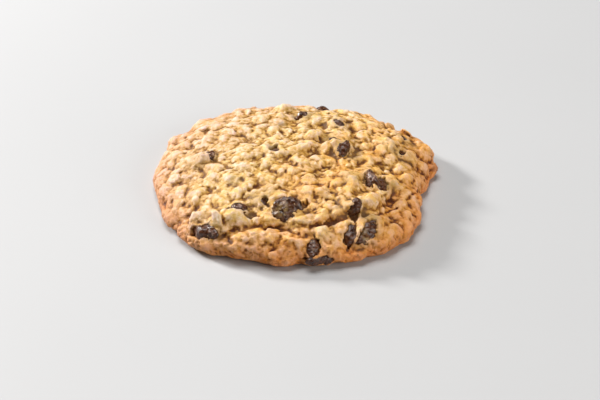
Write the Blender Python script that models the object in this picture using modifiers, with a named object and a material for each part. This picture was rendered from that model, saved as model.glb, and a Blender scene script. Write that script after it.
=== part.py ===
"""An oatmeal chocolate chip cookie, 106 mm across, lying on its flat baked base.

The dough is one solid: a low dome with an uneven edge, a crease where the top crust folded over
the side, lumps of dough, and rolled oats that stand out of it. Each chocolate chip is a solid of
its own, set in a pocket of the dough. Metres, +Z up, the origin under the middle of the cookie.
"""

import math
import random

import bmesh
import bpy
from mathutils import Matrix, Vector, noise
from mathutils.bvhtree import BVHTree

MM = 0.001

# The smooth form of the cookie, before its lumps. WIDTH runs along X and DEPTH along Y.
WIDTH = 103.5 * MM
DEPTH = 97.5 * MM
HEIGHT = 17.8 * MM
EDGE_HEIGHT = 2.6 * MM  # the height at which the cookie is widest
UNDERSIDE_SAG = 1.2 * MM  # how far the dough would reach below the flat base that is cut from it

# The dome is a superellipse: higher powers make the edge blunter.
TOP_REACH_POWER = 1.15
TOP_HEIGHT_POWER = 0.87
UNDERSIDE_REACH_POWER = 0.2
UNDERSIDE_HEIGHT_POWER = 0.9

# Where the edge swells (+) or draws in (-): direction in degrees from +X, share of the radius,
# and half-width in degrees.
EDGE_SWELLS = (
    (16, 0.04, 12),
    (345, -0.105, 13),
    (306, 0.065, 21),
    (238, 0.055, 18),
    (208, 0.015, 14),
    (143, 0.075, 20),
    (180, 0.015, 12),
    (38, -0.045, 13),
    (68, -0.02, 20),
)

# The crease along the front, where the top crust rolled over the side: a few points of its
# route, as (direction in degrees, share of the way from the centre to the edge).
CREASE_ROUTE = (
    (228, 0.93),
    (247, 0.83),
    (276, 0.825),
    (290, 0.775),
    (312, 0.775),
    (326, 0.80),
    (346, 0.95),
)
CREASE_FADE = 16  # degrees over which it fades out at each end
CREASE_WIDTH = 0.035  # share of the way from the centre to the edge
CREASE_DEPTH = 1.6 * MM
LIP_OFFSET = 1.8  # crease widths from the groove to the rolled lip inside it
LIP_RISE = 1.0 * MM

# Folds and mounds of dough: (direction, share of the way to the edge, radius, height)
MOUNDS = (
    (6, 0.655, 6 * MM, 1.9 * MM),
    (344, 0.90, 4 * MM, 1.2 * MM),
    (4, 0.25, 4.5 * MM, 1.5 * MM),
    (47, 0.26, 5 * MM, 0.8 * MM),
    (317, 0.50, 5.5 * MM, 1.2 * MM),
    (306, 0.58, 4 * MM, 1.1 * MM),
    (311, 0.755, 4.5 * MM, 1.5 * MM),
    (282, 0.885, 4.5 * MM, 1.5 * MM),
    (248, 0.87, 4 * MM, 1.0 * MM),
    (233, 0.84, 4.5 * MM, 1.5 * MM),
    (222, 0.91, 4.2 * MM, 1.6 * MM),
    (184, 0.71, 3.5 * MM, 1.2 * MM),
    (154, 0.95, 4 * MM, 0.9 * MM),
    (147, 0.94, 3.5 * MM, -1.2 * MM),
    (138, 0.88, 6 * MM, 0.9 * MM),
    (95, 0.70, 8 * MM, 0.9 * MM),
    (60, 0.86, 6 * MM, 1.1 * MM),
    (25, 0.45, 8 * MM, 0.8 * MM),
    (330, 0.30, 8 * MM, -0.7 * MM),
    (200, 0.45, 9 * MM, 0.7 * MM),
)

# Lumps all over the dough: (distance between lumps, height)
ROUND_LUMPS = (17 * MM, 0.9 * MM)
CRAGS = (8 * MM, 2.8 * MM)
GRAINS = (4 * MM, 1.0 * MM)
WARP = (11 * MM, 2.5 * MM)  # (scale, strength) of the drift that makes them uneven
WARP_OFFSETS = (Vector((9, 0, 0)), Vector((0, 17, 0)), Vector((0, 0, 31)))  # one for each axis
CRAG_MIDDLE = 0.5  # where a crag neither rises nor sinks, in lump distances
UNDERSIDE_RELIEF = 0.35  # share of the relief that is left where the dough meets the sheet

CORE_SUBDIVISIONS = 6
CORE_TRIANGLES = 5350

# Rolled oats that stand out of the dough.
OAT_COUNT = 88
OAT_LENGTH = (4.5 * MM, 8.0 * MM)
OAT_WIDTH_SHARE = (0.55, 0.8)
OAT_THICKNESS = (1.2 * MM, 1.9 * MM)
OAT_CURL = 0.4 * MM  # how far an oat's two ends curl up or down
OAT_TILT = (4, 32)  # degrees from lying flat
OAT_SINK = (0.1 * MM, 0.7 * MM)  # how far an oat's middle lies under the dough
OAT_SPREAD_POWER = 0.45  # under 0.5 puts more of them on the steep side
OAT_LAST_REACH = 0.985
OAT_STRAY = 2.6 * MM
OAT_KEEPS_OFF_CHIP = 7 * MM
GOLDEN_ANGLE = math.pi * (3 - math.sqrt(5))
SEED = 11

# Chocolate chips: the drop shape of a baking chip, softened by the oven.
CHIP_SIDES = 10
CHIP_PROFILE = (  # (radius, height above the middle) as shares of the chip's width
    (0.00, 0.34),
    (0.13, 0.29),
    (0.30, 0.12),
    (0.46, -0.12),
    (0.47, -0.24),
    (0.36, -0.32),
    (0.00, -0.34),
)
CHIP_HALF_HEIGHT = 0.34  # share of its width
POCKET_GAP = 0.45 * MM  # at a chip's waist, and about 0.3 mm at its point and foot

# Chips in the top and side: (direction in degrees, share of the way to the edge, width, how far
# the chip's middle lies under the dough, degrees its point turns from straight out, and the
# direction it turns towards)
TOP_CHIPS = (
    (182.5, 0.63, 8.5 * MM, 2.3 * MM, 150, 350),
    (85, 0.52, 7.0 * MM, 2.6 * MM, 95, 170),
    (74, 0.77, 8.0 * MM, 3.2 * MM, 75, 200),
    (51, 0.53, 8.0 * MM, 2.7 * MM, 100, 300),
    (357.5, 0.335, 9.5 * MM, 2.6 * MM, 150, 180),
    (326, 0.645, 9.5 * MM, 2.6 * MM, 120, 20),
    (188, 0.15, 6.5 * MM, 1.7 * MM, 20, 90),
    (238, 0.715, 8.0 * MM, 2.1 * MM, 60, 120),
    (266, 0.68, 10.5 * MM, 2.4 * MM, 155, 60),
    (299, 0.76, 9.0 * MM, 3.1 * MM, 85, 275),
    (297, 0.915, 10.0 * MM, 3.0 * MM, 90, 110),
    (229, 0.965, 9.5 * MM, 2.9 * MM, 95, 229),
    (275.5, 0.98, 7.8 * MM, 2.6 * MM, 120, 200),
    (282.5, 1.0, 5.2 * MM, 2.0 * MM, 90, 10),
    (1.5, 0.77, 7.5 * MM, 2.7 * MM, 80, 90),
    (19, 0.805, 8.0 * MM, 3.0 * MM, 90, 100),
    (249, 0.61, 7.0 * MM, 2.6 * MM, 90, 30),
    (36, 0.95, 9.0 * MM, 3.0 * MM, 100, 300),
    (76, 0.985, 9.0 * MM, 2.8 * MM, 95, 10),
    (112, 0.985, 9.5 * MM, 2.8 * MM, 85, 230),
)

# Chips that melted flat against the baking sheet: (direction, share of the way, width)
BASE_CHIPS = (
    (35, 0.55, 10.0 * MM),
    (165, 0.70, 9.0 * MM),
    (285, 0.45, 9.5 * MM),
)
BASE_CHIP_LIFT = 0.1 * MM

DOUGH_COLOUR = (0.62, 0.39, 0.17, 1)
CHOCOLATE_COLOUR = (0.035, 0.018, 0.012, 1)


def clear_scene():
    for obj in list(bpy.data.objects):
        bpy.data.objects.remove(obj)


def new_collection(name):
    collection = bpy.data.collections.new(name)
    bpy.context.scene.collection.children.link(collection)
    return collection


def new_material(name, colour, roughness):
    material = bpy.data.materials.new(name)
    material.use_nodes = True
    shader = material.node_tree.nodes["Principled BSDF"]
    shader.inputs["Base Color"].default_value = colour
    shader.inputs["Roughness"].default_value = roughness
    shader.inputs["Metallic"].default_value = 0
    return material


def new_object(name, bm, collection, material=None):
    mesh = bpy.data.meshes.new(name)
    bm.to_mesh(mesh)
    bm.free()
    if material:
        mesh.materials.append(material)
    obj = bpy.data.objects.new(name, mesh)
    collection.objects.link(obj)
    return obj


def turn_between(angle, other):
    """Degrees from one direction to another, the short way round."""
    return abs((angle - other + 180) % 360 - 180)


def edge_radius(direction):
    """Plan radius of the cookie's edge in a direction, in radians."""
    across = WIDTH / 2
    deep = DEPTH / 2
    radius = across * deep / math.hypot(deep * math.cos(direction), across * math.sin(direction))
    degrees = math.degrees(direction)
    swell = sum(
        share * math.exp(-((turn_between(degrees, at) / spread) ** 2))
        for at, share, spread in EDGE_SWELLS
    )
    return radius * (1 + swell)


def dough_point(direction, tilt):
    """A point of the smooth form. tilt is pi/2 at the top, 0 at the edge and -pi/2 below."""
    along, rise = math.cos(tilt), abs(math.sin(tilt))
    if tilt >= 0:
        reach = along**TOP_REACH_POWER
        z = EDGE_HEIGHT + (HEIGHT - EDGE_HEIGHT) * rise**TOP_HEIGHT_POWER
    else:
        reach = along**UNDERSIDE_REACH_POWER
        z = EDGE_HEIGHT - (EDGE_HEIGHT + UNDERSIDE_SAG) * rise**UNDERSIDE_HEIGHT_POWER
    radius = reach * edge_radius(direction)
    return Vector((radius * math.cos(direction), radius * math.sin(direction), z))


def top_point(degrees, reach):
    """The point of the smooth top that lies in a direction, that share of the way to the edge."""
    return dough_point(math.radians(degrees), math.acos(reach ** (1 / TOP_REACH_POWER)))


def ease(share):
    """0 to 1 with soft ends."""
    share = min(1, max(0, share))
    return share * share * (3 - 2 * share)


def crease_reach(degrees):
    """How far out the crease runs in a direction, along its route."""
    for (start, from_reach), (end, to_reach) in zip(CREASE_ROUTE, CREASE_ROUTE[1:]):
        if degrees <= end:
            break
    return from_reach + (to_reach - from_reach) * ease((degrees - start) / (end - start))


def crease_relief(point):
    """A rolled lip with a groove outside it, fading out at both ends of the route."""
    direction = math.atan2(point.y, point.x)
    degrees = math.degrees(direction) % 360
    inside = min(degrees - CREASE_ROUTE[0][0], CREASE_ROUTE[-1][0] - degrees)
    strength = ease(inside / CREASE_FADE)
    if strength == 0 or point.z < EDGE_HEIGHT:
        return 0
    reach = math.hypot(point.x, point.y) / edge_radius(direction)
    outside = (reach - crease_reach(degrees)) / CREASE_WIDTH
    groove = CREASE_DEPTH * math.exp(-(outside**2))
    lip = LIP_RISE * math.exp(-((outside + LIP_OFFSET) ** 2))
    return strength * (lip - groove)


def drift(point):
    """A slow noise for each of X, Y and Z, which makes evenly spaced lumps uneven."""
    scale, strength = WARP
    return strength * Vector([noise.noise(point / scale + away) for away in WARP_OFFSETS])


def relief(point):
    """How far the dough stands out of the smooth form at a point."""
    spacing, height = ROUND_LUMPS
    out = height * noise.noise(point / spacing)
    strayed = point + drift(point)
    for spacing, height in (CRAGS, GRAINS):
        distances, _ = noise.voronoi(strayed / spacing)
        out += height * (CRAG_MIDDLE - distances[0])
    for degrees, reach, radius, height in MOUNDS:
        away = (point - top_point(degrees, reach)).length / radius
        out += height * math.exp(-away * away)
    share = UNDERSIDE_RELIEF + (1 - UNDERSIDE_RELIEF) * ease(point.z / EDGE_HEIGHT)
    return share * out + crease_relief(point)


def make_core(collection, material):
    """The dome of dough, before its base is cut flat."""
    bm = bmesh.new()
    bmesh.ops.create_icosphere(bm, subdivisions=CORE_SUBDIVISIONS, radius=1)
    for vert in bm.verts:
        direction = math.atan2(vert.co.y, vert.co.x)
        vert.co = dough_point(direction, math.asin(max(-1, min(1, vert.co.z))))
    bm.normal_update()
    shifts = [vert.normal * relief(vert.co) for vert in bm.verts]
    for vert, shift in zip(bm.verts, shifts):
        vert.co += shift
    triangles = len(bm.faces)
    core = new_object("cookie", bm, collection, material)
    core.data.shade_smooth()
    thin = core.modifiers.new("fewer faces", "DECIMATE")
    thin.ratio = CORE_TRIANGLES / triangles
    apply_modifiers(core)
    return core


def apply_modifiers(obj):
    """Replaces an object's mesh by what its modifiers make of it."""
    graph = bpy.context.evaluated_depsgraph_get()
    made = bpy.data.meshes.new_from_object(obj.evaluated_get(graph))
    obj.modifiers.clear()
    obj.data = made


def surface_of(obj):
    bm = bmesh.new()
    bm.from_mesh(obj.data)
    tree = BVHTree.FromBMesh(bm)
    bm.free()
    return tree


def frame_at(surface, point):
    """The dough nearest a point: its place, and a turn that puts local Z straight out of it."""
    place, normal, _, _ = surface.find_nearest(point)
    return place, normal, normal.to_track_quat("Z", "Y").to_matrix().to_4x4()


def make_oat(name, rng, collection):
    """A rolled oat: an oval flake, thin at its rim and a little bent."""
    length = rng.uniform(*OAT_LENGTH)
    width = length * rng.uniform(*OAT_WIDTH_SHARE)
    thickness = rng.uniform(*OAT_THICKNESS)
    curl = rng.uniform(-OAT_CURL, OAT_CURL)
    bm = bmesh.new()
    bmesh.ops.create_uvsphere(bm, u_segments=8, v_segments=3, radius=0.5)
    for vert in bm.verts:
        x, y, z = vert.co
        vert.co = Vector((x * length, y * width, z * thickness + curl * (2 * x) ** 2))
    oat = new_object(name, bm, collection)
    oat.data.shade_smooth()
    return oat


def scatter_oats(surface, chip_places):
    """Oats spread evenly over the top and side by turns of the golden angle, clear of the chips."""
    rng = random.Random(SEED)
    oats = new_collection("oats")
    for i in range(OAT_COUNT):
        reach = OAT_LAST_REACH * ((i + 0.5) / OAT_COUNT) ** OAT_SPREAD_POWER
        stray = Vector([rng.uniform(-OAT_STRAY, OAT_STRAY) for _ in range(3)])
        point = top_point(math.degrees(i * GOLDEN_ANGLE), reach) + stray
        place, normal, upright = frame_at(surface, point)
        spin = Matrix.Rotation(rng.uniform(0, math.tau), 4, "Z")
        tilt = Matrix.Rotation(math.radians(rng.uniform(*OAT_TILT)), 4, "X")
        sink = rng.uniform(*OAT_SINK)
        oat = make_oat(f"oat_{i:03d}", rng, oats)
        oat.matrix_world = Matrix.Translation(place - normal * sink) @ upright @ spin @ tilt
        if any((place - chip).length < OAT_KEEPS_OFF_CHIP for chip in chip_places):
            bpy.data.objects.remove(oat)
    return oats


def make_drop(name, width, collection, material=None):
    """A chip turned from its profile."""
    bm = bmesh.new()
    points = [bm.verts.new((radius * width, 0, z * width)) for radius, z in CHIP_PROFILE]
    for upper, lower in zip(points, points[1:]):
        bm.edges.new((upper, lower))
    drop = new_object(name, bm, collection, material)
    turned = drop.modifiers.new("turned", "SCREW")
    turned.steps = turned.render_steps = CHIP_SIDES
    turned.use_merge_vertices = True
    turned.merge_threshold = 0.00001
    return drop


def make_cutter(obj):
    obj.hide_render = True
    obj.display_type = "WIRE"


def set_chip(number, width, place, parts, cutters, material):
    """A chip, and the pocket that holds it with a small gap all round."""
    chip = make_drop(f"chip_{number:02d}", width, parts, material)
    chip.matrix_world = place
    pocket = make_drop(f"pocket_{number:02d}", width + 2 * POCKET_GAP, cutters)
    pocket.matrix_world = place
    make_cutter(pocket)


def set_chips(surface, parts, cutters, material):
    """All the chips. Returns the places of those in the top and side."""
    places = []
    number = 0
    for degrees, reach, width, sink, lean, towards in TOP_CHIPS:
        number += 1
        place, normal, _ = frame_at(surface, top_point(degrees, reach))
        heading = Matrix.Rotation(math.radians(towards), 3, "Z") @ Vector((1, 0, 0))
        side = normal.cross(heading).normalized()
        point_up = Matrix.Rotation(math.radians(lean), 3, side) @ normal
        turn = point_up.to_track_quat("Z", "Y").to_matrix().to_4x4()
        centre = Matrix.Translation(place - normal * sink)
        set_chip(number, width, centre @ turn, parts, cutters, material)
        places.append(place)
    for degrees, reach, width in BASE_CHIPS:
        number += 1
        direction = math.radians(degrees)
        out = reach * edge_radius(direction)
        z = CHIP_HALF_HEIGHT * width + BASE_CHIP_LIFT
        centre = Matrix.Translation((out * math.cos(direction), out * math.sin(direction), z))
        set_chip(number, width, centre, parts, cutters, material)
    return places


def fuse_oats(cookie, oats):
    union = cookie.modifiers.new("oats", "BOOLEAN")
    union.operation = "UNION"
    union.operand_type = "COLLECTION"
    union.collection = oats
    union.solver = "EXACT"
    bpy.context.view_layer.update()
    apply_modifiers(cookie)
    for oat in list(oats.objects):
        bpy.data.objects.remove(oat)
    bpy.data.collections.remove(oats)


def cut_base_and_pockets(cookie, cutters):
    """Cuts away all that lies below the plane the cookie rests on, and the chips' pockets."""
    bm = bmesh.new()
    bmesh.ops.create_cube(bm, size=1)
    size = Matrix.Diagonal((2 * WIDTH, 2 * DEPTH, HEIGHT, 1))
    below = Matrix.Translation((0, 0, -HEIGHT / 2))
    bmesh.ops.transform(bm, matrix=below @ size, verts=bm.verts)
    make_cutter(new_object("base_cutter", bm, cutters))
    cut = cookie.modifiers.new("base and pockets", "BOOLEAN")
    cut.operation = "DIFFERENCE"
    cut.operand_type = "COLLECTION"
    cut.collection = cutters
    cut.solver = "EXACT"


def centre_over_origin(parts, cutters):
    """Hangs everything on an empty, moved so that the box round the parts stands over the origin."""
    bpy.context.view_layer.update()
    graph = bpy.context.evaluated_depsgraph_get()
    points = []
    for obj in parts.objects:
        made = obj.evaluated_get(graph)
        points += [made.matrix_world @ vert.co for vert in made.data.vertices]
    middle_x = (min(p.x for p in points) + max(p.x for p in points)) / 2
    middle_y = (min(p.y for p in points) + max(p.y for p in points)) / 2
    stand = bpy.data.objects.new("cookie_middle", None)
    bpy.context.scene.collection.objects.link(stand)
    for obj in [*parts.objects, *cutters.objects]:
        obj.parent = stand
    stand.location = (-middle_x, -middle_y, 0)


def main():
    clear_scene()
    parts = new_collection("oatmeal_chocolate_chip_cookie")
    cutters = new_collection("cutters")
    dough = new_material("baked dough", DOUGH_COLOUR, 0.6)
    chocolate = new_material("dark chocolate", CHOCOLATE_COLOUR, 0.35)
    cookie = make_core(parts, dough)
    surface = surface_of(cookie)
    chip_places = set_chips(surface, parts, cutters, chocolate)
    fuse_oats(cookie, scatter_oats(surface, chip_places))
    cut_base_and_pockets(cookie, cutters)
    centre_over_origin(parts, cutters)


main()
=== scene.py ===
import math
import bmesh
import bpy
import numpy as np
from mathutils import Matrix, Vector, noise
from mathutils.bvhtree import BVHTree
from mathutils.kdtree import KDTree


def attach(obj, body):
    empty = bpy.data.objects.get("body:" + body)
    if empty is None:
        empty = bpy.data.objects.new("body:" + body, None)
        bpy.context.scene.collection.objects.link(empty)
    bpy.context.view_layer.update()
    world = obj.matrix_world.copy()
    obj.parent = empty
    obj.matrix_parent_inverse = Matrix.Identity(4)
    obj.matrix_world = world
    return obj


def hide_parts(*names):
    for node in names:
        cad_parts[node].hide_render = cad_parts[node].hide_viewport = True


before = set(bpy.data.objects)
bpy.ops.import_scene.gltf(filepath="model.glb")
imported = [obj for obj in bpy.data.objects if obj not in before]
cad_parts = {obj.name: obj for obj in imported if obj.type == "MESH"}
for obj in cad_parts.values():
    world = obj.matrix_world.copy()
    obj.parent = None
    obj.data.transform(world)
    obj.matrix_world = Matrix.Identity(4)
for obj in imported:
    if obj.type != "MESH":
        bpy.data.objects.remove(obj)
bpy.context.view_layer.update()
mm = 0.001
chipNames = sorted(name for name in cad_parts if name.startswith("chip_"))


def objectFrom(name, bm):
    mesh = bpy.data.meshes.new(name)
    bm.to_mesh(mesh)
    bm.free()
    obj = bpy.data.objects.new(name, mesh)
    bpy.context.scene.collection.objects.link(obj)
    return obj


def bakedCopy(name, nodes):
    # one new mesh from some of the frame's nodes, with the points along their edges joined again
    bm = bmesh.new()
    for node in nodes:
        bm.from_mesh(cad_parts[node].data)
    bmesh.ops.remove_doubles(bm, verts=bm.verts, dist=0.002 * mm)
    return objectFrom(name, bm)


def joinedShapes(name, pieces):
    # pieces are (points, triangles)
    starts = np.cumsum([0] + [len(points) for points, _ in pieces])
    points = np.concatenate([points for points, _ in pieces])
    faces = np.concatenate([faces + start for (_, faces), start in zip(pieces, starts)])
    mesh = bpy.data.meshes.new(name)
    mesh.from_pydata(points.tolist(), [], faces.tolist())
    obj = bpy.data.objects.new(name, mesh)
    bpy.context.scene.collection.objects.link(obj)
    return obj


def joinInto(obj, others):
    bm = bmesh.new()
    for one in (obj, *others):
        bm.from_mesh(one.data)
    bm.to_mesh(obj.data)
    bm.free()
    for one in others:
        bpy.data.objects.remove(one)


def applyModifiers(obj):
    graph = bpy.context.evaluated_depsgraph_get()
    made = bpy.data.meshes.new_from_object(obj.evaluated_get(graph))
    old = obj.data
    obj.modifiers.clear()
    obj.data = made
    bpy.data.meshes.remove(old)


def remeshed(obj, voxel):
    remesh = obj.modifiers.new("remesh", "REMESH")
    remesh.mode = "VOXEL"
    remesh.voxel_size = voxel
    applyModifiers(obj)


def thinned(obj, triangles):
    ratio = triangles / len(trianglesOf(obj.data))
    if ratio < 1:
        thin = obj.modifiers.new("thin", "DECIMATE")
        thin.ratio = ratio
        applyModifiers(obj)


def pointsOf(mesh):
    flat = np.empty(len(mesh.vertices) * 3, np.float32)
    mesh.vertices.foreach_get("co", flat)
    return flat.reshape(-1, 3).astype(float)


def normalsOf(mesh):
    flat = np.empty(len(mesh.vertices) * 3, np.float32)
    mesh.vertex_normals.foreach_get("vector", flat)
    return flat.reshape(-1, 3).astype(float)


def setPoints(mesh, points):
    mesh.vertices.foreach_set("co", points.astype(np.float32).ravel())
    mesh.update()


def edgesOf(mesh):
    flat = np.empty(len(mesh.edges) * 2, np.int32)
    mesh.edges.foreach_get("vertices", flat)
    return flat.reshape(-1, 2)


def trianglesOf(mesh):
    mesh.calc_loop_triangles()
    flat = np.empty(len(mesh.loop_triangles) * 3, np.int32)
    mesh.loop_triangles.foreach_get("vertices", flat)
    return flat.reshape(-1, 3)


def relaxed(values, edges, rounds):
    # each value moves towards the mean of its neighbours, again and again
    kept = 0.3                    # the share of a value that stays in each round
    count = len(values)
    ends = np.concatenate([edges[:, 0], edges[:, 1]])
    others = np.concatenate([edges[:, 1], edges[:, 0]])
    number = np.maximum(np.bincount(ends, minlength=count), 1)[:, None]
    values = values.reshape(count, -1)
    for _ in range(rounds):
        sums = [np.bincount(ends, values[others, i], count) for i in range(values.shape[1])]
        values = kept * values + (1 - kept) * np.stack(sums, 1) / number
    return values


def smoothNormals(mesh, edges, rounds):
    # the normals of the form under the small relief
    points = pointsOf(mesh)
    setPoints(mesh, relaxed(points, edges, rounds))
    normals = normalsOf(mesh)
    setPoints(mesh, points)
    return normals


def keepValue(mesh, name, values):
    # a value at each point, for a material to read
    attribute = mesh.attributes.new(name, "FLOAT", "POINT")
    attribute.data.foreach_set("value", np.asarray(values, np.float32).ravel())


def ease(values, start, end):
    # from 0 at the start to 1 at the end, and smooth at both
    share = np.clip((values - start) / (end - start), 0, 1)
    return share * share * (3 - 2 * share)


def noiseAt(points, spacing, shift):
    return np.array([noise.noise(spot) for spot in (points / spacing + shift).tolist()])


def layered(points, layers):
    # noises on top of each other, each a height, a spacing and a shift
    return sum(height * noiseAt(points, spacing, shift) for height, spacing, shift in layers)


def sidewaysNoise(points, spacing, shift, step):
    # three noises, as a push that changes from place to place
    return np.stack([noiseAt(points, spacing, shift + step * i) for i in range(3)], 1)


def treeOf(obj):
    bm = bmesh.new()
    bm.from_mesh(obj.data)
    tree = BVHTree.FromBMesh(bm)
    bm.free()
    return tree


fade = (0.35, 1.15)               # the shares of its radius between which a round place fades out


def spotted(points, spots):
    # 1 inside the spots, each a middle and a radius in mm, fading to 0 round them
    total = np.zeros(len(points))
    for middle, radius in spots:
        away = np.linalg.norm(points - np.array(middle) * mm, axis=1) / (radius * mm)
        total = np.maximum(total, 1 - ease(away, *fade))
    return total


def distancesTo(tree, points, reach):
    # the reach itself for a point that is further away
    found = (tree.find_nearest(spot, reach)[3] for spot in points.tolist())
    return np.array([reach if distance is None else distance for distance in found])


def signedDistances(tree, points):
    # below 0 inside the shape
    found = [(Vector(spot), *tree.find_nearest(spot)[:2]) for spot in points.tolist()]
    return np.array([(spot - nearest).length * (1 if (spot - nearest).dot(normal) > 0 else -1)
                     for spot, nearest, normal in found])


def addNode(tree, kind, inputs=None, **settings):
    node = tree.nodes.new(kind)
    for name, value in settings.items():
        setattr(node, name, value)
    for name, value in (inputs or {}).items():
        if isinstance(value, bpy.types.NodeSocket):
            tree.links.new(value, node.inputs[name])
        else:
            node.inputs[name].default_value = value
    return node


def newTree(name):
    material = bpy.data.materials.new(name)
    material.use_nodes = True
    tree = material.node_tree
    tree.nodes.clear()
    return material, tree


def place(tree):
    return addNode(tree, "ShaderNodeTexCoord").outputs["Object"]


def noiseValue(tree, perMetre, detail=2.0, roughness=0.5, distortion=0.0):
    inputs = {"Vector": place(tree), "Scale": perMetre, "Detail": detail, "Roughness": roughness,
              "Distortion": distortion}
    return addNode(tree, "ShaderNodeTexNoise", inputs).outputs["Fac"]


def cells(tree, perMetre):
    # how far it is to the nearest of many scattered places
    inputs = {"Vector": place(tree), "Scale": perMetre}
    return addNode(tree, "ShaderNodeTexVoronoi", inputs).outputs["Distance"]


def valueOf(tree, name):
    return addNode(tree, "ShaderNodeAttribute", attribute_name=name).outputs["Fac"]


def maths(tree, operation, first, second=0.0, third=0.0):
    node = addNode(tree, "ShaderNodeMath", operation=operation)
    for socket, value in zip(node.inputs, (first, second, third)):
        if isinstance(value, bpy.types.NodeSocket):
            tree.links.new(value, socket)
        else:
            socket.default_value = value
    return node.outputs[0]


def times(tree, first, second):
    return maths(tree, "MULTIPLY", first, second)


def mapped(tree, value, fromLow, fromHigh, toLow=0.0, toHigh=1.0):
    inputs = {"Value": value, "From Min": fromLow, "From Max": fromHigh, "To Min": toLow, "To Max": toHigh}
    return addNode(tree, "ShaderNodeMapRange", inputs, clamp=True).outputs[0]


def patches(tree, perMetre, detail, roughness, fromLow, fromHigh, toLow=0.0, toHigh=1.0, distortion=0.0):
    # a noise that fades from one strength to the other between two of its levels
    noises = noiseValue(tree, perMetre, detail, roughness, distortion)
    return mapped(tree, noises, fromLow, fromHigh, toLow, toHigh)


def ramp(tree, value, stops):
    node = addNode(tree, "ShaderNodeValToRGB", {"Fac": value})
    elements = node.color_ramp.elements
    while len(elements) < len(stops):
        elements.new(0.5)
    for element, (position, colour) in zip(elements, stops):
        element.position = position
        element.color = (*colour, 1)
    return node.outputs["Color"]


def mixed(tree, share, first, second, blend="MIX"):
    node = addNode(tree, "ShaderNodeMix", data_type="RGBA", blend_type=blend)
    for socket, value in ((node.inputs[0], share), (node.inputs[6], first), (node.inputs[7], second)):
        if isinstance(value, bpy.types.NodeSocket):
            tree.links.new(value, socket)
        else:
            socket.default_value = value if socket == node.inputs[0] else (*value, 1)
    return node.outputs[2]


def finishTree(tree, colour, roughness, bumps, **fixed):
    # bumps: ((how many to the metre, detail, roughness), how far they stand in metres, strength)
    normal = None
    for noises, distance, strength in bumps:
        inputs = {"Height": noiseValue(tree, *noises), "Distance": distance, "Strength": strength}
        if normal:
            inputs["Normal"] = normal
        normal = addNode(tree, "ShaderNodeBump", inputs).outputs["Normal"]
    inputs = {"Base Color": colour, "Roughness": roughness}
    if normal:
        inputs["Normal"] = normal
    shader = addNode(tree, "ShaderNodeBsdfPrincipled", inputs)
    for name, value in fixed.items():
        shader.inputs[name].default_value = value
    out = addNode(tree, "ShaderNodeOutputMaterial")
    tree.links.new(shader.outputs[0], out.inputs["Surface"])


def wear(obj, material):
    obj.data.materials.clear()
    obj.data.materials.append(material)
    obj.data.shade_smooth()
    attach(obj, "root")


dough = {
    "seed": 7,
    "coreVoxel": 0.7 * mm,
    "fineVoxel": 0.3 * mm,
    "triangles": 190000,
    "formRounds": 20,    # of smoothing, to find the form under the relief
    "skinOverChips": 0.5 * mm,
    "leastSkin": 0.35 * mm,       # what pits and creases leave of it
    # noises: height, spacing and shift
    "lumpEdges": ((0.16, 2.4 * mm, 0.0), (0.1, 1.1 * mm, 3.7)),
    "grain": ((0.16 * mm, 1.4 * mm, 14.0), (0.06 * mm, 0.75 * mm, 27.0)),
    "grainOnSide": 0.9,           # how much stronger it is there
    "creaseDepth": 0.1 * mm,      # thin creases between flakes
    "creaseSpacing": 3.2 * mm,
    "creaseWidth": 0.12,          # as a share of the noise's height
}

oats = {
    "count": 90,
    "shapes": 9,
    "length": (3.6 * mm, 6.4 * mm),
    "width": 0.72,                # as a share of the length
    "thickness": (0.5 * mm, 0.8 * mm),
    "groove": 0.35,               # as a share of the thickness
    "grooveWidth": 0.07,
    "uneven": 0.16,
    "curl": (0.25, 0.2),          # along and across
    "lift": (-0.5 * mm, -0.1 * mm),
    "tilt": 0.13,
}

crumbs = {
    "count": 520,
    "shapes": 14,
    "size": (0.5 * mm, 1.1 * mm),
    "least": 0.75,                # the share of their size in smooth places
    "crags": 0.4,                 # what coarse places add to it
    "uneven": 0.6,
    "stretch": ((0.9, 1.6), (0.7, 1.0), (0.55, 0.85)),
    "sink": (0.45, 1.0),          # share of its size that a crumb's middle lies under the dough
    "tilt": 0.5,
}

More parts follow.
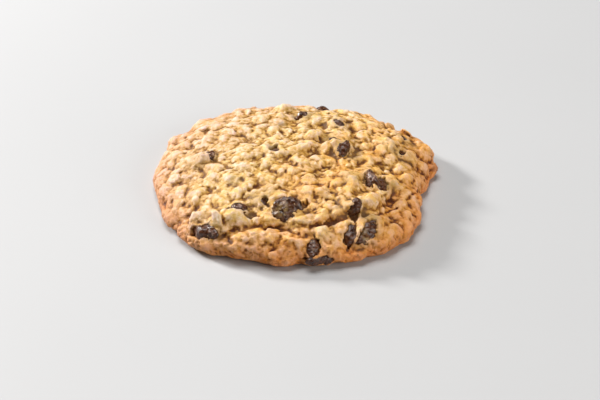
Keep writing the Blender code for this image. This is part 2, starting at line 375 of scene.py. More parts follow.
# rounded lumps and hollows: x, y, z, direction, length, width, rise, all in mm and degrees
lumps = (
    (-34.5, 0.5, 15.0, 90, 7, 5, 0.9), (-32.6, 13.0, 14.0, 15, 9, 4.5, 0.9), (-46, 22, 8, 60, 8, 5, 0.8),
    (-35.6, 32.4, 9, 40, 9, 5, 0.7), (-13, 31, 13, 10, 9, 6, 0.5), (9.1, 10, 17.8, 20, 10, 8, 0.9),
    (13.9, 1.8, 18.2, 60, 7, 6, 1.2), (22, 32, 13, 0, 9, 7, 0.8), (34.7, 4.6, 16.5, 80, 10, 8, 1.5),
    (26, 14, 16, 20, 7, 5, 0.7), (25, -3, 16.5, 0, 6, 5, 0.8), (39, -5, 13, 30, 8, 6, 0.8),
    (20.2, -17.1, 16.5, 20, 9, 7, 1.0), (40.9, -10.2, 12, 60, 7, 5, 1.0), (17, -6, 17, 10, 7, 4, 0.2),
    (18.8, -23.9, 15.5, 80, 7, 4, 0.9), (27.2, -29.5, 13.8, 10, 7, 6, 1.2), (9, -31, 15, 20, 8, 5, 0.6),
    (5, -37.4, 12.4, 5, 16, 3.4, 1.0), (9.6, -41.9, 10.5, 20, 7, 5.5, 1.2), (-8, -38, 12.5, 0, 7, 5, 0.9),
    (22.4, -40.6, 10.6, 58, 9.5, 2.2, 0.9), (-34.8, -31.3, 11.5, 10, 7, 5.5, 1.3),
    (-26.3, -34.0, 13, 15, 8, 5.5, 1.1), (-25, -39, 10.8, 30, 6, 5, 0.9), (-14, -37, 12.5, 10, 7, 5, 0.9),
    (-22, 9, 16.5, 30, 10, 6, 0.5), (-16, -22, 15.5, 160, 9, 6, 0.5), (32, -22, 13.5, 30, 9, 4.5, 0.9),
    (37.5, -24, 9.5, 50, 7, 4, 0.6), (-10, 18, 17, 0, 8, 5, 0.4), (30, 24, 12.5, 150, 8, 5, 0.7),
    (-36.4, -17.6, 12.2, 100, 5, 4, 0.7), (14.6, -34.6, 13.4, 60, 6, 4, 0.7), (2.0, -44.5, 8.0, 0, 8, 4, 0.6),
    (-4.5, 15.5, 17.3, 100, 8, 3, -0.6), (-7.2, 0.2, 18.0, 90, 5, 4, -0.6),
    (-22.2, -42.7, 8.0, -30, 3.4, 2.6, -0.9), (-18.5, -16.8, 16.0, 90, 3.2, 2.6, -0.8),
    (39.8, 2.8, 14.3, 80, 4.5, 3, -0.6), (-15.5, -34.0, 13.3, 10, 5, 3, -0.6),
    (11, 39.5, 11.5, 0, 11, 9, -0.8), (10, 43, 9.5, 0, 36, 16, -1.5), (50.5, -2.0, 3.0, 90, 10, 8, -0.9),
    (51.6, 6.2, 3.6, 90, 6, 5, 1.6), (48.5, 16, 6, 100, 18, 12, 0.7), (-25, -45, 3.0, -20, 16, 8, -1.2),
    (-39, -36, 3.0, -42, 16, 8, 1.3), (-28, 37, 6, 40, 16, 10, -0.5), (11.0, 37.6, 12.6, 0, 6, 6, -0.6),
    (-16.6, -47.5, 3.0, 0, 18, 8, -1.1), (-11, 41, 10, 0, 15, 12, -0.6), (10.9, 46.5, 9.4, 0, 8, 7, -2.4),
    (-14.3, 45.0, 9.0, 0, 6, 5, -1.4), (-46.5, -24, 3.5, -60, 12, 8, 1.2), (19, -45, 3.0, 15, 16, 8, 0.7),
    (-4, -39.8, 9.7, -2, 26, 4.5, 0.8),
)

# cracks and folds: width, depth, then the points they run through, all in mm
furrows = (
    (0.6, 0.5, (-13.2, -38.2, 10.9), (-6.4, -39.4, 9.8), (1.1, -39.7, 10.1), (7.0, -39.0, 10.4),
     (12.5, -36.6, 11.8), (14.6, -34.0, 13.2)),
    (0.6, 1.0, (23.9, -34.2, 11.6), (27.9, -34.0, 11.9), (32.2, -29.4, 10.6), (36.4, -25.3, 9.9),
     (40.2, -20.6, 9.6), (43.8, -14.8, 7.8), (45.2, -11.0, 6.4)),
    (0.5, 0.6, (-26.5, -39.5, 8.0), (-24.5, -39.9, 8.8), (-20.5, -39.0, 10.6)),
    (0.55, 0.9, (2.2, -16.4, 17.2), (5.6, -14.2, 16.9), (8.6, -11.4, 16.6), (12.6, -7.4, 16.2)),
    (0.5, 0.8, (12.4, -19.5, 16.0), (12.0, -22.4, 15.7), (12.9, -25.0, 15.5)),
    (0.5, 0.7, (22.3, -22.2, 15.2), (26.1, -24.9, 14.8), (30.6, -25.0, 13.0), (32.8, -22.0, 12.2)),
    (0.5, 0.6, (-11.9, -26.0, 14.6), (-9.7, -29.1, 14.6), (-9.0, -32.1, 14.2)),
    (0.6, 0.9, (-39.0, -30.2, 7.6), (-38.2, -32.6, 6.6), (-37.2, -34.2, 6.2)),
    (0.5, 0.7, (-20.6, -29.2, 14.0), (-16.0, -32.2, 13.6), (-12.4, -35.2, 13.4)),
    (0.7, 0.9, (-17.5, -33.5, 13.6), (-15.5, -35.5, 13.0), (-14.6, -37.2, 12.4)),
    (0.45, 0.6, (10.6, -27.6, 15.2), (13.8, -29.4, 14.9), (16.4, -32.6, 14.2)),
    (0.45, 0.6, (28.0, 8.0, 15.8), (29.4, 3.4, 15.6), (29.0, -1.6, 15.4)),
)


def blobShape(seed, detail, uneven):
    # a lump, 1 in radius, with broad swellings and finer ones
    bm = bmesh.new()
    bmesh.ops.create_icosphere(bm, subdivisions=detail, radius=1)
    away = Vector((seed * 7.31, seed * 3.17, seed * 5.53))
    for vert in bm.verts:
        swell = noise.noise(vert.co * 1.1 + away) + 0.4 * noise.noise(vert.co * 2.6 + away)
        vert.co *= 1 + uneven * swell
    points = np.array([vert.co for vert in bm.verts])
    faces = np.array([[vert.index for vert in face.verts] for face in bm.faces])
    bm.free()
    return points, faces


def flakeShape(seed):
    # a rolled oat, 1 long: oval, thin at its rim, with a groove along its middle and a slight curl
    bm = bmesh.new()
    bmesh.ops.create_uvsphere(bm, u_segments=14, v_segments=6, radius=0.5)
    away = Vector((seed * 4.7, 0, seed * 2.9))
    curlAlong, curlAcross = oats["curl"]
    for vert in bm.verts:
        x, y, z = vert.co
        groove = oats["groove"] * math.exp(-((y / oats["grooveWidth"]) ** 2)) if z > 0 else 0
        edge = 1 + oats["uneven"] * noise.noise(Vector((x, y, 0)) * 3 + away)
        curl = curlAlong * math.sin(seed * 1.7) * x * x + curlAcross * math.cos(seed * 2.3) * y * y
        vert.co = (x * edge, y * edge * oats["width"], z * (1 - groove) + curl)
    bmesh.ops.triangulate(bm, faces=bm.faces)
    points = np.array([vert.co for vert in bm.verts])
    faces = np.array([[vert.index for vert in face.verts] for face in bm.faces])
    bm.free()
    return points, faces


def frameOn(normal, spin, tilt):
    # a turn whose third column stands along the normal, but for the tilt
    upright = Vector(normal).to_track_quat("Z", "Y").to_matrix()
    return np.array(upright @ Matrix.Rotation(spin, 3, "Z") @ Matrix.Rotation(tilt, 3, "X"))


def samplesOn(mesh, count, rng):
    # points spread evenly over the top and side, with their normals
    lowest, mostDownward, noArea = 0.8 * mm, -0.6, 1e-12
    points, triangles = pointsOf(mesh), trianglesOf(mesh)
    corners = points[triangles]
    cross = np.cross(corners[:, 1] - corners[:, 0], corners[:, 2] - corners[:, 0])
    area = np.linalg.norm(cross, axis=1)
    normal = cross / np.maximum(area, noArea)[:, None]
    weight = area * ((corners[:, :, 2].mean(1) > lowest) & (normal[:, 2] > mostDownward))
    chosen = rng.choice(len(triangles), count, p=weight / weight.sum())
    u, v = rng.random(count), rng.random(count)
    flip = u + v > 1
    u[flip], v[flip] = 1 - u[flip], 1 - v[flip]
    first, second, third = (corners[chosen, i] for i in range(3))
    return first + u[:, None] * (second - first) + v[:, None] * (third - first), normal[chosen]


def coarseness(points):
    # 0 on the smooth left shoulder, 1 on the craggy right and front
    x, y = points[:, 0] / mm, points[:, 1] / mm
    return ease(x * 0.8 - y * 0.55, -48, 22)


def steepness(normals):
    # 0 on the top and the base, 1 on the side
    return 1 - ease(np.abs(normals[:, 2]), 0.25, 0.7)


def axesOn(surface, middle, direction):
    # the point of the dough nearest to a place in mm, and the axes along, across and out of it
    spot, normal = (np.array(found) for found in surface.find_nearest(Vector(middle) * mm)[:2])
    along = np.array([math.cos(math.radians(direction)), math.sin(math.radians(direction)), 0])
    along -= normal * (normal @ along)
    along /= np.linalg.norm(along)
    return spot, along, np.cross(normal, along), normal


def ovalDistance(points, surface, middle, direction, length, width):
    # 0 in the middle of an oval that lies on the dough, 1 at its rim
    _, along, across, normal = axesOn(surface, middle, direction)
    away = points - np.array(middle) * mm
    flat = np.hypot(away @ along / (length * mm / 2), away @ across / (width * mm / 2))
    return np.hypot(flat, away @ normal / (max(length, width) * mm))


def doughCore():
    # the dough with a skin of it over every chip
    core = bakedCopy("doughCrust", ["cookie"])
    skins = []
    for name in chipNames:
        skin = bakedCopy(name + "Skin", [name])
        setPoints(skin.data, pointsOf(skin.data) + normalsOf(skin.data) * dough["skinOverChips"])
        skins.append(skin)
    joinInto(core, skins)
    remeshed(core, dough["coreVoxel"])
    mesh = core.data
    points = relaxed(pointsOf(mesh), edgesOf(mesh), 3)
    setPoints(mesh, points)
    surface = treeOf(core)
    wander = layered(points, dough["lumpEdges"])
    moved = points.copy()
    for *middle, direction, length, width, height in lumps:
        away = ovalDistance(points, surface, middle, direction, length, width) + wander
        outward = axesOn(surface, middle, direction)[3]
        moved += (height * mm * (1 - ease(away, *fade)))[:, None] * outward
    setPoints(mesh, moved)
    return core


def mostlyOnTop(places, normals, rng):
    # keeps only some of the places low on the side
    lowShare = 0.2
    keep = rng.random(len(places)) < lowShare + (1 - lowShare) * ease(places[:, 2], 5 * mm, 12 * mm)
    return places[keep], normals[keep]


def crumbPieces(places, normals, rng):
    shapes = [blobShape(i, 2, crumbs["uneven"]) for i in range(crumbs["shapes"])]
    share = crumbs["least"] + crumbs["crags"] * coarseness(places)
    low, high = crumbs["size"]
    pieces = []
    for i, (spot, normal) in enumerate(zip(places, normals)):
        size = (low + (high - low) * rng.random() ** 2) * share[i]
        sink = rng.uniform(*crumbs["sink"])
        turn = frameOn(normal, rng.uniform(0, math.tau), rng.uniform(-crumbs["tilt"], crumbs["tilt"]))
        stretch = size * np.array([rng.uniform(*limits) for limits in crumbs["stretch"]])
        points, faces = shapes[i % len(shapes)]
        pieces.append(((points * stretch) @ turn.T + spot - normal * size * sink, faces))
    return pieces


def oatPieces(places, normals, rng):
    shapes = [flakeShape(i) for i in range(oats["shapes"])]
    pieces = []
    for i, (spot, normal) in enumerate(zip(places, normals)):
        length = rng.uniform(*oats["length"])
        thick = rng.uniform(*oats["thickness"])
        turn = frameOn(normal, rng.uniform(0, math.tau), rng.normal(0, oats["tilt"]))
        points, faces = shapes[i % len(shapes)]
        stretch = np.array([length, length, 2 * thick])
        pieces.append(((points * stretch) @ turn.T + spot + normal * rng.uniform(*oats["lift"]), faces))
    return pieces


# rounded mounds that stand side by side and on each other, large ones first
# least: the share of their height in smooth places, crags: what coarse places add to it
# calmed: what calm patches take away, onSide: what the side adds
mounds = (
    {"count": 400, "radius": 3.9 * mm, "height": 1.3 * mm, "stretch": 1.9, "steep": 0.9,
     "least": 0.6, "crags": 0.6, "calmed": 0.0, "onSide": -0.65},
    {"count": 1700, "radius": 1.9 * mm, "height": 0.95 * mm, "stretch": 1.7, "steep": 0.65,
     "least": 0.7, "crags": 0.3, "calmed": 0.65, "onSide": -0.6},
    {"count": 7000, "radius": 0.95 * mm, "height": 0.24 * mm, "stretch": 1.6, "steep": 0.7,
     "least": 1.0, "crags": 0.0, "calmed": 0.65, "onSide": 0.4},
)

# small pores, and deeper holes between the lumps
pits = (
    {"count": 380, "radius": 0.55 * mm, "depth": 0.5 * mm},
    {"count": 60, "radius": 0.8 * mm, "depth": 0.8 * mm},
)


def pointTree(points):
    tree = KDTree(len(points))
    for i, spot in enumerate(points.tolist()):
        tree.insert(spot, i)
    tree.balance()
    return tree


def moundRelief(points, seeds, look, rng):
    count = len(seeds)
    overlapping = 6               # how many mounds are looked at round each point
    sizes, rises = (0.7, 1.35), (0.15, 1)
    axis = rng.normal(size=(count, 3))
    axis /= np.linalg.norm(axis, axis=1)[:, None]
    flatter = 1 - 1 / rng.uniform(1, look["stretch"], count) ** 2
    radius = look["radius"] * rng.uniform(*sizes, count)
    rise = look["height"] * rng.uniform(*rises, count)
    # the push makes their outlines uneven
    points = points + sidewaysNoise(points, 0.9 * look["radius"], 0, 11.0) * 0.4 * look["radius"]
    tree = pointTree(seeds)
    near = np.array([[found[1] for found in tree.find_n(spot, overlapping)] for spot in points.tolist()])
    away = points[:, None] - seeds[near]
    along = (away * axis[near]).sum(2)
    share = ((away ** 2).sum(2) - along ** 2 * flatter[near]) / radius[near] ** 2
    dome = rise[near] * np.clip(1 - share, 0, 1) ** look["steep"]
    return dome.max(1) - 0.5 * look["height"]


def furrowRelief(points):
    # folds that wander a little off their route, here deeper and there shallower
    total = np.zeros(len(points))
    depthShare = 1 + 0.5 * noiseAt(points, 1.6 * mm, 9.1)
    points = points + sidewaysNoise(points, 2.5 * mm, 21.0, 7) * 0.7 * mm
    for width, depth, *route in furrows:
        route = np.array(route) * mm
        nearest = np.full(len(points), np.inf)
        for start, end in zip(route, route[1:]):
            step = end - start
            away = points - start
            share = np.clip(away @ step / (step @ step), 0, 1)
            nearest = np.minimum(nearest, np.linalg.norm(away - share[:, None] * step, axis=1))
        total -= depth * mm * np.exp(-((nearest / (width * mm)) ** 2)) * depthShare
    return total


def pitRelief(points, rng, mesh):
    total = np.zeros(len(points))
    points = points + sidewaysNoise(points, 1.2 * mm, 31.0, 7) * 0.8 * mm
    smoothShare = 0.35            # the share of the pits that smooth places keep
    for pit in pits:
        seeds, _ = samplesOn(mesh, pit["count"], rng)
        keep = rng.random(pit["count"]) < smoothShare + (1 - smoothShare) * coarseness(seeds)
        tree = pointTree(seeds[keep])
        nearest = np.array([tree.find(spot)[2] for spot in points.tolist()])
        total -= pit["depth"] * np.exp(-((nearest / pit["radius"]) ** 2))
    return total


def raiseRelief(crust, rng):
    # the mounds, pits and folds, pushed out of the plain form
    base = crust.data.copy()
    remeshed(crust, dough["fineVoxel"])
    mesh = crust.data
    edges = edgesOf(mesh)
    setPoints(mesh, relaxed(pointsOf(mesh), edges, 2))
    points = pointsOf(mesh)
    normals = smoothNormals(mesh, edges, dough["formRounds"])
    upper = np.nonzero(points[:, 2] > 0.35 * mm)[0]    # the flat base stays flat
    spots = points[upper]
    coarse, side = coarseness(spots), steepness(normals[upper])
    calm = ease(noiseAt(spots, 8 * mm, 40.0), 0.05, 0.3)
    out = np.zeros(len(points))
    for look in mounds:
        strength = (look["least"] + look["crags"] * coarse) * (1 - look["calmed"] * calm)
        strength = strength * (1 + look["onSide"] * side)
        seeds, _ = samplesOn(base, look["count"], rng)
        out[upper] += strength * moundRelief(spots, seeds, look, rng)
    out[upper] += pitRelief(spots, rng, base)
    lowShare = 0.35               # of the relief, just over the base
    out[upper] *= lowShare + (1 - lowShare) * ease(spots[:, 2], 0.3 * mm, 3.0 * mm)
    out[upper] += furrowRelief(spots)
    setPoints(mesh, points + normals * out[:, None])
    bpy.data.meshes.remove(base)


def makeDough(crust, surface, chipTree):
    rng = np.random.default_rng(dough["seed"])
    raiseRelief(crust, rng)
    print("dough: relief made", flush=True)
    raised = crust.data.copy()
    bits = crumbPieces(*mostlyOnTop(*samplesOn(raised, crumbs["count"], rng), rng), rng)
    places = mostlyOnTop(*samplesOn(raised, oats["count"], rng), rng)[0]
    # oats lie along the plain form, whatever slope the relief has there
    bits += oatPieces(places, [np.array(surface.find_nearest(spot)[1]) for spot in places.tolist()], rng)
    joinInto(crust, [joinedShapes("bits", bits)])
    bpy.data.meshes.remove(raised)
    remeshed(crust, dough["fineVoxel"])
    mesh = crust.data
    edges = edgesOf(mesh)
    points = relaxed(pointsOf(mesh), edges, 1)
    setPoints(mesh, points)
    normals = smoothNormals(mesh, edges, dough["formRounds"])
    grain = layered(points, dough["grain"])
    folded = np.abs(noiseAt(points, dough["creaseSpacing"], 33.0))
    grain -= dough["creaseDepth"] * (1 - ease(folded, 0, dough["creaseWidth"]))
    grain *= 1 + dough["grainOnSide"] * steepness(normals)
    setPoints(mesh, points + normals * (grain * ease(points[:, 2], 0.2 * mm, 1.2 * mm))[:, None])
    print("dough: remeshed,", len(mesh.vertices), "points", flush=True)
    bareChips(crust, surface, chipTree, normals)
    points = pointsOf(mesh)
    points[:, 2] = np.maximum(points[:, 2], 0)
    setPoints(mesh, points)
    values = measured(mesh, edges, chipTree)
    thinned(crust, dough["triangles"])
    carryOver(crust.data, points, values)
    return crust


# how the dough opens over the chips
openings = {
    "rim": ((0.35, 1.9 * mm, 2.2), (0.25, 0.9 * mm, 8.4)),    # noises: height, spacing and shift
    "edge": (0.9, 1.1),           # the shares of an oval between which the dough closes
    "kept": (1.2, 1.8),           # and between which its least skin begins
    "full": 2.3 * mm,             # dough as near to a chip as this is pushed in all the way
    "reach": 2.9 * mm,            # and dough further away stays
    "under": 0.6 * mm,            # how far it ends up under the chocolate
    "mostLift": 1.2 * mm,
    "liftRounds": 5,              # of smoothing
}

# where each chip is bare of dough: middle, direction, length, width and how far it stands out,
# in mm and degrees
bare = {
    "chip_01": (((-30.0, -0.6, 15.6), 80, 5.4, 1.9, 0.3),),
    "chip_02": (((2.8, 26.0, 15.2), 0, 4.8, 3.4, 1.1),),
    "chip_03": (((11.0, 37.6, 12.2), 0, 3.0, 2.6, 0.2),),
    "chip_04": (((16.9, 19.0, 16.4), -30, 4.4, 2.5, 0.5),),
    "chip_05": (((18.8, 1.0, 17.0), 80, 6.2, 3.2, 0.8), ((15.6, 4.4, 18.4), -15, 5.6, 1.4, 0.5)),
    "chip_06": (((26.9, -16.9, 14.9), 85, 8.2, 3.8, 0.3), ((31.2, -16.9, 14.2), 85, 8.0, 4.2, 0.3),
                ((29.0, -16.4, 14.6), 85, 6.0, 4.0, 0.1)),
    "chip_07": (((-7.6, 0.8, 18.0), 60, 4.6, 2.8, -0.6), ((-6.4, -1.2, 18.0), 120, 4.0, 2.4, -0.6)),
    "chip_08": (((-19.1, -31.2, 14.4), 0, 4.6, 4.4, 0.3),),
    "chip_09": (((-3.6, -33.4, 14.6), 65, 8.4, 7.4, 0.2), ((0.9, -30.6, 14.8), 15, 6.8, 4.6, 0.3)),
    "chip_10": (((20.5, -33.8, 13.8), 92, 6.6, 4.3, 0.0),),
    "chip_11": (((18.7, -42.2, 10.1), 75, 8.0, 3.8, -0.3), ((24.9, -40.7, 10.0), 68, 11.0, 4.8, -0.1)),
    "chip_12": (((-32.6, -37.4, 8.4), -6, 11.4, 4.6, -1.3),),
    "chip_13": (((6.2, -46.4, 7.3), 85, 7.4, 4.3, 0.0),),
    "chip_14": (((8.4, -48.8, 3.6), 0, 9.8, 3.3, 0.0),),
    "chip_15": (((39.7, 2.6, 14.3), 80, 4.4, 2.4, -0.6),),
    "chip_16": (((40.9, 15.0, 11.9), 70, 4.0, 2.4, 0.1),),
    "chip_17": (((-10.4, -28.0, 14.8), 90, 3.2, 2.4, -0.6),),
    "chip_18": (((37.5, 28.6, 5.4), 120, 7.0, 3.8, 0.3),),
    "chip_19": (((11.6, 47.8, 4.0), 170, 6.6, 3.8, 0.3),),
    "chip_20": (((-17.6, 46.0, 3.8), 20, 7.2, 3.6, 0.3),),
    "chip_21": (((22.6, 16.1, 0), 0, 6.8, 5.6, 0.0),),
    "chip_22": (((-35.1, 10.3, 0), 40, 6.0, 5.2, 0.0),),
    "chip_23": (((6.5, -21.1, 0), 70, 6.4, 5.0, 0.0),),
}


def bareDistance(points, surface):
    # under 1 where a chip is bare
    nearest = np.full(len(points), np.inf)
    for ovals in bare.values():
        for middle, direction, length, width, _ in ovals:
            nearest = np.minimum(nearest, ovalDistance(points, surface, middle, direction, length, width))
    return nearest


def bareChips(crust, surface, chipTree, normals):
    # opens the skin over each chip, with a ragged rim, and keeps it whole further away
    mesh = crust.data
    points = pointsOf(mesh)
    gap = distancesTo(chipTree, points, openings["reach"])
    near = np.nonzero(gap < openings["reach"])[0]
    spots, gap = points[near], gap[near]
    away = bareDistance(spots, surface) + layered(spots, openings["rim"])
    share = (1 - ease(away, *openings["edge"])) * (1 - ease(gap, openings["full"], openings["reach"]))
    lift = np.zeros(len(points))
    lift[near] = np.clip(dough["leastSkin"] - signedDistances(chipTree, spots), 0, openings["mostLift"])
    lift = relaxed(lift, edgesOf(mesh), openings["liftRounds"])[near, 0] * ease(away, *openings["kept"])
    points[near] += normals[near] * (lift - share * (gap + openings["under"]))[:, None]
    setPoints(mesh, points)


# coloured places on the dough: middle and radius in mm; the dark ones are painted shade in pits and hollows
tints = {
    "olive": (((20.2, -17.1, 16.8), 5), ((34, -17, 13.5), 4), ((8, 14, 18), 5), ((13, 8, 18.5), 4),
              ((-36.4, -17.6, 12.4), 2.6), ((-21.4, -16.6, 16), 3), ((-8, 2, 18), 3), ((-14, -26, 15), 4),
              ((25, -36, 12), 4), ((36, 3, 15), 4), ((-9, -24, 15.5), 3.5), ((22, -4, 17), 3.5)),
    "dark": (((-22.2, -42.7, 7.6), 1.8), ((-18.6, -16.8, 16), 1.5), ((-4.6, 19.4, 16), 1.8),
             ((41.2, -9, 12.5), 1.0), ((36.4, -38.8, 4), 1.4), ((-10.4, -26.4, 14.6), 1.4),
             ((40.0, 2.4, 13.8), 1.6), ((-15.3, -34.4, 13), 1.8), ((-7.2, 0.4, 17.4), 2.2)),
    "nub": (((52.5, 6.5, 3.5), 3.2), ((47.6, -7.1, 1.4), 1.6), ((-47, -18, 2), 2.5)),
    "cream": (((9.6, -41.9, 11), 4), ((34.7, 5, 17), 4.5), ((30, 24, 13), 4), ((14.6, -34.6, 13.8), 3)),
}

# how far each point stands out of its smoothed form, which the dough's colour turns into painted shade in the
# hollows and a painted highlight on the lumps: rounds of smoothing, and gain per mm
reliefs = {
    "fineRelief": (12, 2.4),
    "broadRelief": (110, 1.2),
}


def measured(mesh, edges, chipTree):
    # what the colours follow
    points, normals = pointsOf(mesh), normalsOf(mesh)
    values = {}
    for name, (rounds, gain) in reliefs.items():
        out = ((points - relaxed(points, edges, rounds)) * normals).sum(1) / mm
        values[name] = np.clip(0.5 + out * gain, 0, 1)
    values["height"] = np.clip(points[:, 2] / (20 * mm), 0, 1)
    values["chipNear"] = 1 - ease(distancesTo(chipTree, points, 4 * mm), 0.4 * mm, 3.0 * mm)
    values["coarse"] = coarseness(points)
    for name, spots in tints.items():
        values[name] = spotted(points, spots)
    return values


def carryOver(mesh, oldPoints, values):
    # each point takes the values of the nearest old point
    tree = pointTree(oldPoints)
    own = np.array([tree.find(spot)[1] for spot in pointsOf(mesh).tolist()])
    for name, value in values.items():
        keepValue(mesh, name, value[own])


def doughMaterial():
    # patches, here and for the grain, pores and roughness: what patches() takes after the tree
    # limits: a value of the mesh, two levels of it, and the strength at each
    look = {
        # ramp: from the deepest hollow to the highest lump, painted shade at the dark end and a painted
        # highlight at the pale end
        "ramp": ((0.0, (0.11, 0.033, 0.002)), (0.18, (0.29, 0.132, 0.013)), (0.36, (0.55, 0.335, 0.104)),
                 (0.52, (0.71, 0.475, 0.245)), (0.72, (0.82, 0.60, 0.42)), (1.0, (0.88, 0.68, 0.57))),
        "fineShare": 0.5,
        "broadShare": 0.62,
        "grain": (1300, 4, 0.65, 0.32, 0.68, -0.20, 0.02),
        "overChips": -0.12,
        # washes over all of it: colour, blend, patches and limits
        "washes": {
            "gold": ((0.98, 0.89, 0.43), "MULTIPLY", (330, 4, 0.65, 0.42, 0.58),
                     (("coarse", 0.1, 0.7, 0.5, 1),)),
            # pale: cream on the raised bits, partly random tone and partly a painted highlight on the lump
            # tops
            "pale": ((0.94, 0.80, 0.60), "MIX", (620, 3, 0.6, 0.53, 0.64, 0, 0.6),
                     (("fineRelief", 0.4, 0.65),)),
            "pink": ((0.95, 0.88, 0.94), "MULTIPLY", (75, 3, 0.55, 0.36, 0.6, 0.5, 1),
                     (("coarse", 0.1, 0.6, 1, 0),)),
            # orange: deeper orange on the craggy right and front, partly baked colour and partly painted
            # shade for the warm shaded side
            "orange": ((1.0, 0.78, 0.48), "MULTIPLY", (110, 3, 0.6, 0.38, 0.62, 0.35, 1),
                       (("coarse", 0.7, 1, 0.1, 1),)),
            "toast": ((0.90, 0.49, 0.23), "MULTIPLY", (240, 3, 0.6, 0.3, 0.65, 0.7, 1),
                      (("height", 0.15, 0.65, 1, 0), ("coarse", 0, 0.7, 0.75, 1))),
            "rim": ((0.80, 0.71, 0.62), "MULTIPLY", None,
                    (("height", 0.1, 0.5, 1, 0), ("coarse", 0.4, 1, 1, 0.25))),
        },
        # colours of the tinted places, and their strength
        "olive": ((0.36, 0.25, 0.09), 0.42),
        "cream": ((0.90, 0.66, 0.32), 0.3),
        "nub": ((0.30, 0.10, 0.025), 0.85),
        # dark: near-black brown in the pits and hollows, a painted shade
        "dark": ((0.07, 0.025, 0.01), 0.8),
        "oliveNearChips": 0.2,
        "pore": (0.12, 0.035, 0.008),
        "poresPerMetre": 600,
        "porePatches": (450, 2, 0.5, 0.45, 0.57),
        "roughness": (500, 3, 0.5, 0.3, 0.7, 0.32, 0.62),
        "bumps": (((1100, 5, 0.65), 0.9 * mm, 0.7), ((3200, 3, 0.5), 0.2 * mm, 0.4)),
        "fixed": {"Subsurface Weight": 0.05, "Subsurface Scale": 0.001, "Subsurface Radius": (1.0, 0.45, 0.2),
                  "IOR": 1.45, "Specular IOR Level": 0.42},
    }
    material, tree = newTree("bakedOatDough")
    fine, nearChip = valueOf(tree, "fineRelief"), valueOf(tree, "chipNear")
    # painted shade and painted highlight: the colour follows how far the dough stands out, darker in hollows
    # and paler on lumps
    broad = times(tree, valueOf(tree, "broadRelief"), look["broadShare"])
    level = maths(tree, "MULTIPLY_ADD", fine, look["fineShare"], broad)
    level = maths(tree, "ADD", level, patches(tree, *look["grain"]))
    # the thin dough over chips is no paler than the rest: this takes back some of the painted highlight on
    # its raised skin
    level = maths(tree, "MULTIPLY_ADD", nearChip, look["overChips"], level)
    colour = ramp(tree, level, look["ramp"])
    for wash, blend, patch, limits in look["washes"].values():
        strength = patches(tree, *patch) if patch else 1.0
        for name, *levels in limits:
            strength = times(tree, strength, mapped(tree, valueOf(tree, name), *levels))
        colour = mixed(tree, strength, colour, wash, blend)
    for name in ("olive", "cream", "nub", "dark"):
        tint, most = look[name]
        uneven = patches(tree, 300, 3, 0.5, 0.3, 0.7, 0.5 * most, most)
        colour = mixed(tree, times(tree, valueOf(tree, name), uneven), colour, tint)
    colour = mixed(tree, times(tree, nearChip, look["oliveNearChips"]), colour, look["olive"][0])
    # small dark pores, more of them low on the side, and more in the hollows, where they also act as painted
    # shade
    specks = mapped(tree, cells(tree, look["poresPerMetre"]), 0.08, 0.26, 1, 0)
    low = mapped(tree, valueOf(tree, "height"), 0.15, 0.65, 0.75, 0)
    hollow = maths(tree, "MAXIMUM", mapped(tree, fine, 0.3, 0.7, 0.9, 0.25), low)
    pores = times(tree, specks, times(tree, patches(tree, *look["porePatches"]), hollow))
    colour = mixed(tree, pores, colour, look["pore"])
    finishTree(tree, colour, patches(tree, *look["roughness"]), look["bumps"], **look["fixed"])
    return material


chips = {
    "voxel": 0.32 * mm,
    "thick": 1.7,                 # half the thickness of what shows in an opening, in mm
    "wider": 1.14,                # how much further it reaches under the dough
    "tucked": 0.3 * mm,           # how deep under the dough the rest of a chip ends
    "base": 0.02 * mm,            # the lowest point
    "uneven": 0.15,
    "dents": ((0.5 * mm, 2.6 * mm, 0.0), (0.2 * mm, 0.9 * mm, 4.0)),    # noises: height, spacing and shift
    "colour": (0.028, 0.007, 0.002),
    "soft": (0.105, 0.032, 0.010),
    # pale colour for the chocolate's pale film and for the painted highlights on the chips
    "bloomAndHighlight": (0.46, 0.31, 0.24),
    "crumbs": (0.50, 0.33, 0.14),
    "smear": (0.30, 0.19, 0.07),
    # what patches() takes after the tree
    "softPatches": (800, 3, 0.5, 0.35, 0.65),
    "bloomPatches": (600, 4, 0.65, 0.56, 0.68, 0, 0.35, 0.8),
    "bloomAndHighlightPatches": (900, 3, 0.5, 0.42, 0.56),
    "smearPatches": (650, 4, 0.6, 0.42, 0.58, 0, 0.85),
    "crumbPatches": (260, 2, 0.5, 0.46, 0.58),
    "roughness": (600, 3, 0.5, 0.35, 0.65, 0.18, 0.38),
    "crumbsPerMetre": 900,
    "bumps": (((620, 3, 0.55), 1.2 * mm, 0.55),),
    "fixed": {"IOR": 1.45, "Specular IOR Level": 0.5, "Coat Weight": 0.2, "Coat Roughness": 0.12},
    # places with dough smeared on the chocolate: middle and radius in mm
    "smears": (((-4.6, -34.4, 15.2), 3.6), ((22.6, -41.0, 10.6), 2.6), ((24.2, -43.6, 8.6), 2.0),
               ((9.0, -46.4, 6.8), 1.6), ((33.6, -17.0, 13.6), 1.8), ((18.4, -34.6, 14.2), 1.4)),
    # places with a pale patch on the chocolate, partly the pale film that chocolate grows and partly a
    # painted highlight: middle and radius in mm
    "bloomAndHighlightPlaces": (((27.6, -17.2, 15.5), 2.2), ((-18.6, -31.6, 15.4), 0.9), ((6.4, -46.6, 8.2), 1.6),
               ((-29.6, -0.6, 16.2), 1.2), ((0.9, 26.0, 16.0), 1.8), ((19.9, -31.4, 15.0), 1.5),
               ((-3.6, -31.6, 15.4), 1.8), ((24.8, -38.6, 11.8), 1.3), ((17.6, 2.4, 18.2), 1.0)),
}


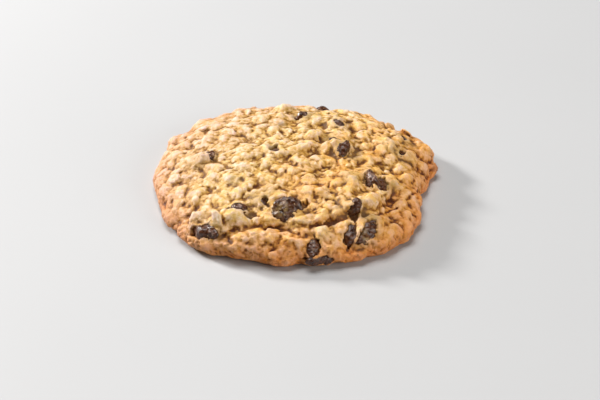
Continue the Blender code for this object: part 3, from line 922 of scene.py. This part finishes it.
def openingPieces(surface):
    # chocolate that fills each opening
    pieces = []
    for ovals in bare.values():
        for middle, direction, length, width, rise in ovals:
            spot, *axes = axesOn(surface, middle, direction)
            thick = min(chips["thick"], width / 2)
            size = np.array([length / 2 * chips["wider"], width / 2 * chips["wider"], thick]) * mm
            points, faces = blobShape(len(pieces) + 20, 4, chips["uneven"])
            pieces.append(((points * size) @ np.array(axes) + spot + axes[2] * (rise - thick) * mm, faces))
    return pieces


def tuckedIn(points, surface, depth):
    # moves what stands out of the dough back under it, except at the base
    moved = points.copy()
    for i, spot in enumerate(points.tolist()):
        nearest, normal = surface.find_nearest(spot)[:2]
        over = (Vector(spot) - nearest).dot(normal) + depth
        if over > 0 and spot[2] > 1 * mm:
            moved[i] -= np.array(normal) * over
    return moved


def makeChips(surface):
    made = bakedCopy("chocolateChips", chipNames)
    setPoints(made.data, tuckedIn(pointsOf(made.data), surface, chips["tucked"]))
    joinInto(made, [joinedShapes("openings", openingPieces(surface))])
    remeshed(made, chips["voxel"])
    mesh = made.data
    points = relaxed(pointsOf(mesh), edgesOf(mesh), 2)
    setPoints(mesh, points)
    points = points + normalsOf(mesh) * layered(points, chips["dents"])[:, None]
    points[:, 2] = np.maximum(points[:, 2], chips["base"])
    setPoints(mesh, points)
    keepValue(mesh, "bloomAndHighlightSpots", spotted(points, chips["bloomAndHighlightPlaces"]))
    keepValue(mesh, "smeared", spotted(points, chips["smears"]))
    return made


def chocolateMaterial():
    material, tree = newTree("meltedChocolate")
    colour = mixed(tree, patches(tree, *chips["softPatches"]), chips["colour"], chips["soft"])
    # pale spots on the chips, partly the chocolate's pale film and partly a painted highlight, with random
    # patches of the film over all of it
    placedBloomAndHighlight = times(tree, valueOf(tree, "bloomAndHighlightSpots"), patches(tree, *chips["bloomAndHighlightPatches"]))
    bloomAndHighlight = maths(tree, "MAXIMUM", patches(tree, *chips["bloomPatches"]), placedBloomAndHighlight)
    colour = mixed(tree, bloomAndHighlight, colour, chips["bloomAndHighlight"])
    smear = times(tree, valueOf(tree, "smeared"), patches(tree, *chips["smearPatches"]))
    colour = mixed(tree, smear, colour, chips["smear"])
    specks = mapped(tree, cells(tree, chips["crumbsPerMetre"]), 0.14, 0.26, 0.9, 0)
    crumbly = times(tree, specks, patches(tree, *chips["crumbPatches"]))
    colour = mixed(tree, crumbly, colour, chips["crumbs"])
    finishTree(tree, colour, patches(tree, *chips["roughness"]), chips["bumps"], **chips["fixed"])
    return material


studio = {
    "floor": (0.50, 0.511, 0.526),
    "floorSize": 3,               # metres from its middle to an edge
    "floorPatches": (9, 2, 0.5, 0.3, 0.7),
    "darker": 0.985,              # the floor's colour in its patches
    "floorRoughness": 0.55,
    "fill": 0.075,
    "fillColour": (1.0, 0.98, 0.95),
    # name: direction it shines from, distance, size, watts, colour
    "lamps": {
        "keyLight": ((-2.0, 1.2, 1.12), 1.3, 0.22, 23, (1.0, 0.965, 0.93)),
        "topLight": ((-0.2, 0.3, 1.5), 1.5, 1.0, 18.5, (1.0, 0.985, 0.965)),
        "bounceLight": ((1.6, -1.1, 0.8), 1.4, 0.8, 10, (1.0, 0.95, 0.88)),
    },
}

shot = {
    "aim": (1.8 * mm, -9.8 * mm, 1.6 * mm),
    "elevation": 35.07,
    "distance": 457.6 * mm,
    "lens": 75.5,
    "roll": -1.0,
}


def makeFloor():
    bm = bmesh.new()
    bmesh.ops.create_grid(bm, x_segments=2, y_segments=2, size=studio["floorSize"])
    floor = objectFrom("paleFloor", bm)
    material, tree = newTree("paleFloor")
    darker = tuple(studio["darker"] * part for part in studio["floor"])
    colour = mixed(tree, patches(tree, *studio["floorPatches"]), studio["floor"], darker)
    finishTree(tree, colour, studio["floorRoughness"], ())
    floor.data.materials.append(material)


def makeLamps():
    for name, (direction, distance, size, watts, colour) in studio["lamps"].items():
        data = bpy.data.lights.new(name, "AREA")
        data.shape = "DISK"
        data.size = size
        data.energy = watts
        data.color = colour
        lamp = bpy.data.objects.new(name, data)
        bpy.context.scene.collection.objects.link(lamp)
        away = Vector(direction).normalized()
        lamp.location = away * distance
        lamp.rotation_euler = away.to_track_quat("Z", "Y").to_euler()
    world = bpy.data.worlds.new("softRoom")
    world.use_nodes = True
    back = world.node_tree.nodes["Background"]
    back.inputs["Color"].default_value = (*studio["fillColour"], 1)
    back.inputs["Strength"].default_value = studio["fill"]
    bpy.context.scene.world = world


def makeCamera():
    data = bpy.data.cameras.new("camera")
    data.lens = shot["lens"]
    camera = bpy.data.objects.new("camera", data)
    bpy.context.scene.collection.objects.link(camera)
    rise = math.radians(shot["elevation"])
    back = Vector((0, -math.cos(rise), math.sin(rise)))
    camera.location = Vector(shot["aim"]) + back * shot["distance"]
    turn = back.to_track_quat("Z", "Y").to_matrix() @ Matrix.Rotation(math.radians(shot["roll"]), 3, "Z")
    camera.rotation_euler = turn.to_euler()
    bpy.context.scene.camera = camera


doughCrust = doughCore()
coreSurface = treeOf(doughCrust)
chocolateChips = makeChips(coreSurface)
wear(chocolateChips, chocolateMaterial())
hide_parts(*chipNames)
print("chips made", flush=True)

doughCrust = makeDough(doughCrust, coreSurface, treeOf(chocolateChips))
wear(doughCrust, doughMaterial())
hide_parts("cookie")
print("dough made,", len(trianglesOf(doughCrust.data)), "triangles", flush=True)

makeFloor()
makeLamps()
makeCamera()
bpy.context.scene.view_settings.view_transform = "Standard"
